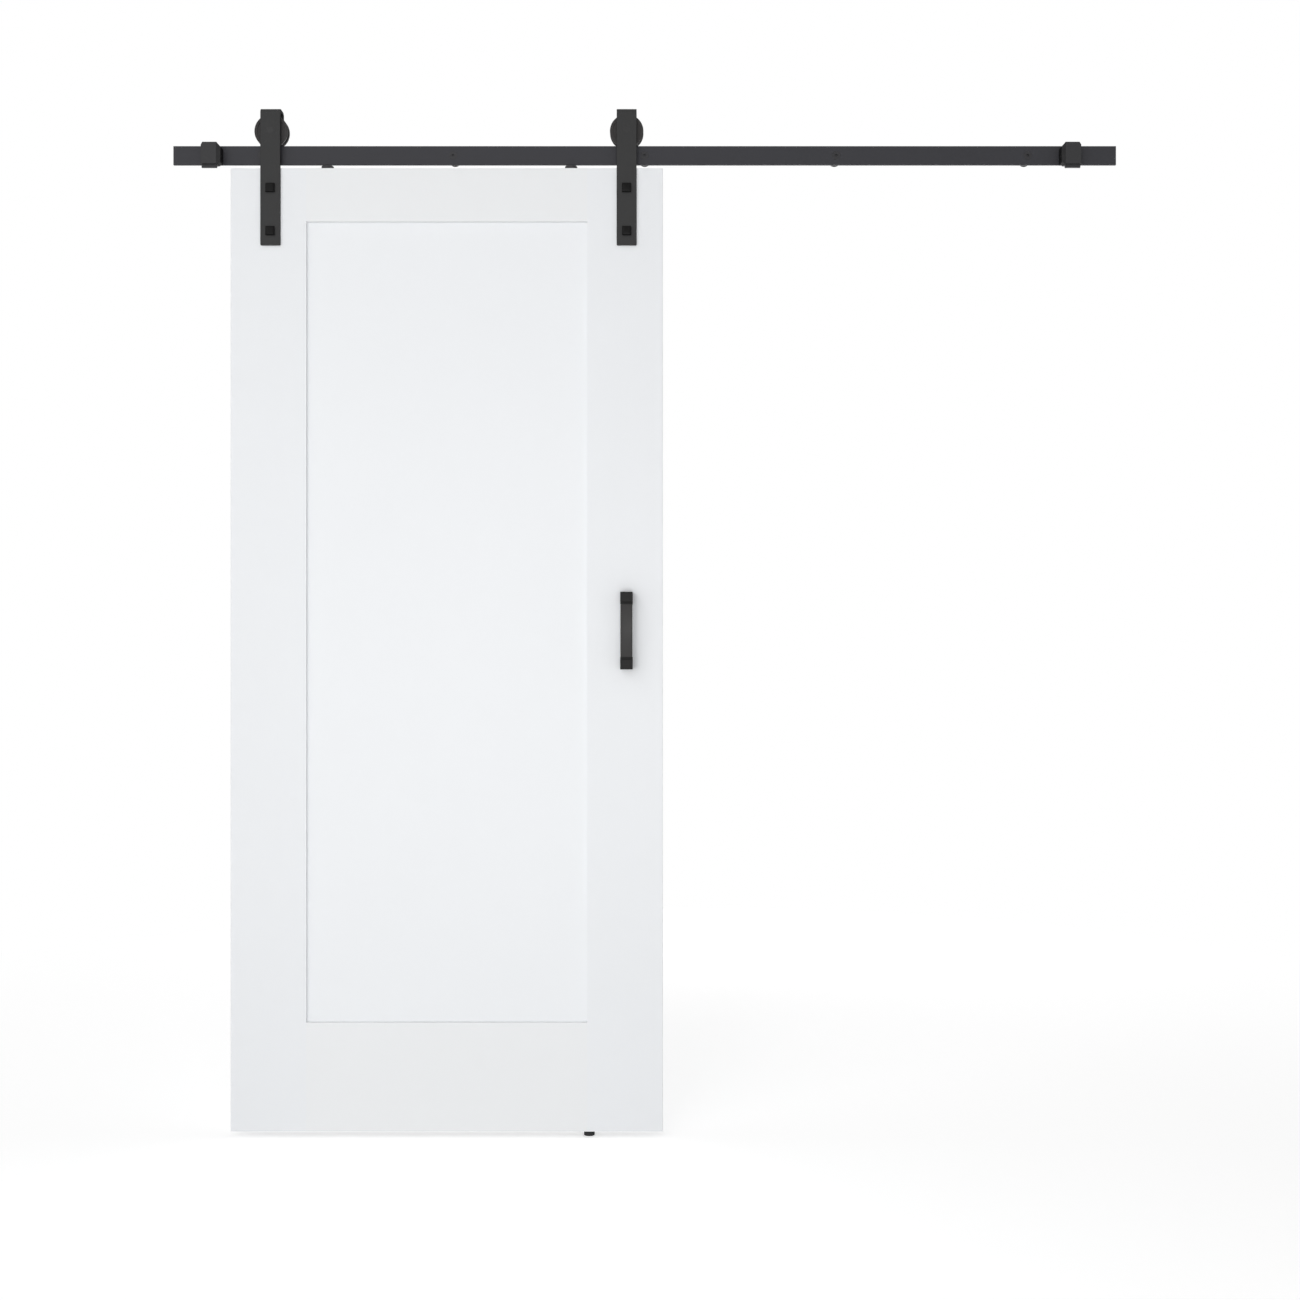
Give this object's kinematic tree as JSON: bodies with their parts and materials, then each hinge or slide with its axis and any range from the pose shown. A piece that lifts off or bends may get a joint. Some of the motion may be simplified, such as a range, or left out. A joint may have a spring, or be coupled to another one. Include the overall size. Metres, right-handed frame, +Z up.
{
  "type": "sliding barn door hardware",
  "caption": "Panelled door leaf hung by bent straps and grooved wheels from a flat wall track, with clamped stops, a pull handle and a floor guide; the door slides and its wheels roll.",
  "frame": {"origin": "on the wall plane, on the axis of the track's middle screw", "axes": "+X along the track to the right as seen from the room, +Y into the wall, +Z up"},
  "size_m": [2, 0.115, 2.2053],
  "materials": {
    "track_steel": "satin black powder coat",
    "hanger_steel": "satin black powder coat",
    "stop_steel": "satin black powder coat",
    "handle_steel": "satin black powder coat",
    "guide_steel": "satin black powder coat",
    "bolt_steel": "black oxide",
    "zinc_steel": "zinc plated",
    "bearing_steel": "ground bearing steel",
    "bumper_rubber": "matt black rubber",
    "wheel_nylon": "black moulded nylon",
    "roller_nylon": "natural nylon",
    "cage_nylon": "moulded cage nylon",
    "door_paint": "white satin paint on wood",
    "dowel_wood": "bare beech"
  },
  "bodies": {
    "track": {"track_rail": "track_steel", "wall_spacers": "track_steel", "wall_lag_screws": "bolt_steel", "left_stop_body": "stop_steel", "left_stop_set_screws": "bolt_steel", "left_stop_bumper": "bumper_rubber", "left_stop_bumper_screw": "bolt_steel", "right_stop_body": "stop_steel", "right_stop_set_screws": "bolt_steel", "right_stop_bumper": "bumper_rubber", "right_stop_bumper_screw": "bolt_steel", "guide_base": "guide_steel", "guide_screw": "zinc_steel"},
    "door": {"left_hanger_strap": "hanger_steel", "left_hanger_axle": "bolt_steel", "left_hanger_axle_nut": "zinc_steel", "left_hanger_bushes": "zinc_steel", "left_hanger_bolts": "bolt_steel", "left_hanger_sleeve_nuts": "zinc_steel", "left_bearing_inner_race": "bearing_steel", "left_anti_jump_disc": "hanger_steel", "right_hanger_strap": "hanger_steel", "right_hanger_axle": "bolt_steel", "right_hanger_axle_nut": "zinc_steel", "right_hanger_bushes": "zinc_steel", "right_hanger_bolts": "bolt_steel", "right_hanger_sleeve_nuts": "zinc_steel", "right_bearing_inner_race": "bearing_steel", "right_anti_jump_disc": "hanger_steel", "door_left_stile": "door_paint", "door_right_stile": "door_paint", "door_top_rail": "door_paint", "door_bottom_rail": "door_paint", "door_centre_panel": "door_paint", "door_dowels": "dowel_wood", "anti_jump_screws": "bolt_steel", "handle_bar": "handle_steel", "handle_upper_post": "handle_steel", "handle_lower_post": "handle_steel", "handle_screws": "zinc_steel", "handle_washers": "zinc_steel"},
    "left_wheel": {"left_wheel_rim": "wheel_nylon", "left_bearing_outer_race": "bearing_steel", "left_bearing_shields": "bearing_steel"},
    "left_ball_cage": {"left_bearing_cage": "cage_nylon", "left_bearing_balls": "bearing_steel"},
    "right_wheel": {"right_wheel_rim": "wheel_nylon", "right_bearing_outer_race": "bearing_steel", "right_bearing_shields": "bearing_steel"},
    "right_ball_cage": {"right_bearing_cage": "cage_nylon", "right_bearing_balls": "bearing_steel"},
    "guide_roller": {"guide_roller": "roller_nylon"}
  },
  "joints": [
    {"name": "door_slide", "type": "slide", "parent": "track", "child": "door", "axis": [1, 0, 0], "range_m": [-0.0818, 0.8954]},
    {"name": "left_wheel_spin", "type": "hinge", "parent": "door", "child": "left_wheel", "pos_m": [-0.791, -0.035, 0.0498], "axis": [0, 1, 0], "continuous": true},
    {"name": "left_ball_cage_spin", "type": "hinge", "parent": "door", "child": "left_ball_cage", "pos_m": [-0.791, -0.035, 0.0498], "axis": [0, 1, 0], "continuous": true},
    {"name": "right_wheel_spin", "type": "hinge", "parent": "door", "child": "right_wheel", "pos_m": [-0.0381, -0.035, 0.0498], "axis": [0, 1, 0], "continuous": true},
    {"name": "right_ball_cage_spin", "type": "hinge", "parent": "door", "child": "right_ball_cage", "pos_m": [-0.0381, -0.035, 0.0498], "axis": [0, 1, 0], "continuous": true},
    {"name": "guide_roller_spin", "type": "hinge", "parent": "track", "child": "guide_roller", "pos_m": [-0.1176, -0.0305, -2.071], "axis": [0, 0, 1], "continuous": true}
  ],
  "couplings": [
    {"joint": "left_wheel_spin", "follows": "door_slide", "rad_per_m": 33.898},
    {"joint": "left_ball_cage_spin", "follows": "door_slide", "rad_per_m": 21.281},
    {"joint": "right_wheel_spin", "follows": "door_slide", "rad_per_m": 33.898},
    {"joint": "right_ball_cage_spin", "follows": "door_slide", "rad_per_m": 21.281}
  ]
}
